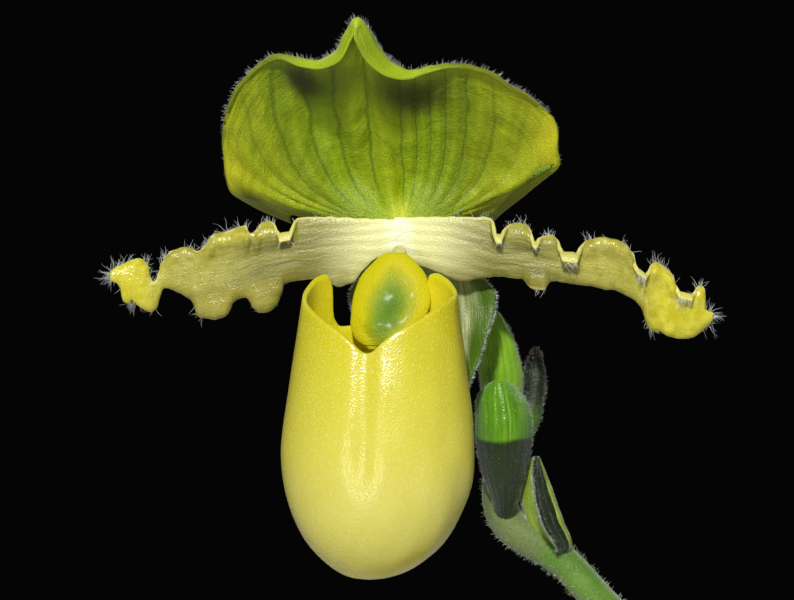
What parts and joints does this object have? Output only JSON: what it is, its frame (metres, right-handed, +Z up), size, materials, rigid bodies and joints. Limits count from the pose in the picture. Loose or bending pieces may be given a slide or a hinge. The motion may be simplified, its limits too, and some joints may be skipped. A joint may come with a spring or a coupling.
{
  "type": "potted slipper orchid",
  "caption": "Flowering slipper orchid in a clay pot: a hooded green sepal, two waved yellow petals, a yellow pouch, buds on a hairy stem and a fan of strap leaves.",
  "frame": {"origin": "middle of the pot's flat base, on the surface that it stands on", "axes": "+Z up along the pot's axis, -Y the way the flower faces, +X to the right of a person who looks at the flower's front"},
  "size_m": [0.2854, 0.12, 0.3167],
  "materials": {
    "clay": "unglazed fired clay, matte, with faint turning rings and pale bloom",
    "bark": "rough damp bark chips, matte",
    "crown": "pale green leaf bases, satin",
    "leaf": "smooth green strap leaf, satin gloss, faint long veins",
    "stem": "green stem under dense short white hairs",
    "bract": "green folded bract, satin, white hairs on its keel and edge",
    "bud": "dark green closed bud with white hairs",
    "sepal": "green to olive yellow sepal, satin, darker green veins, hairy margin",
    "petal": "pale yellow petal, glossy at its waved tip, faint green veins, long white hairs on its margins",
    "pouch": "clear yellow, satin, finely sparkling cells, paler towards the toe",
    "shield": "yellow with a green middle, wet gloss, fine bumps",
    "column": "cream, satin"
  },
  "bodies": {
    "root": {"pot": "clay", "potting_bark": "bark", "crown": "crown", "shoot_crown": "crown", "leaf_1": "leaf", "leaf_2": "leaf", "leaf_3": "leaf", "leaf_4": "leaf", "leaf_5": "leaf", "leaf_6": "leaf", "shoot_leaf_1": "leaf", "shoot_leaf_2": "leaf", "shoot_leaf_3": "leaf", "scape": "stem", "ovary": "stem", "bract_lower": "bract", "bract_bud": "bract", "bract_flower": "bract", "bud": "bud", "young_bud": "bud", "dorsal_sepal": "sepal", "synsepal": "sepal", "petal_left": "petal", "petal_right": "petal", "pouch": "pouch", "staminode": "shield", "column": "column"}
  },
  "joints": []
}
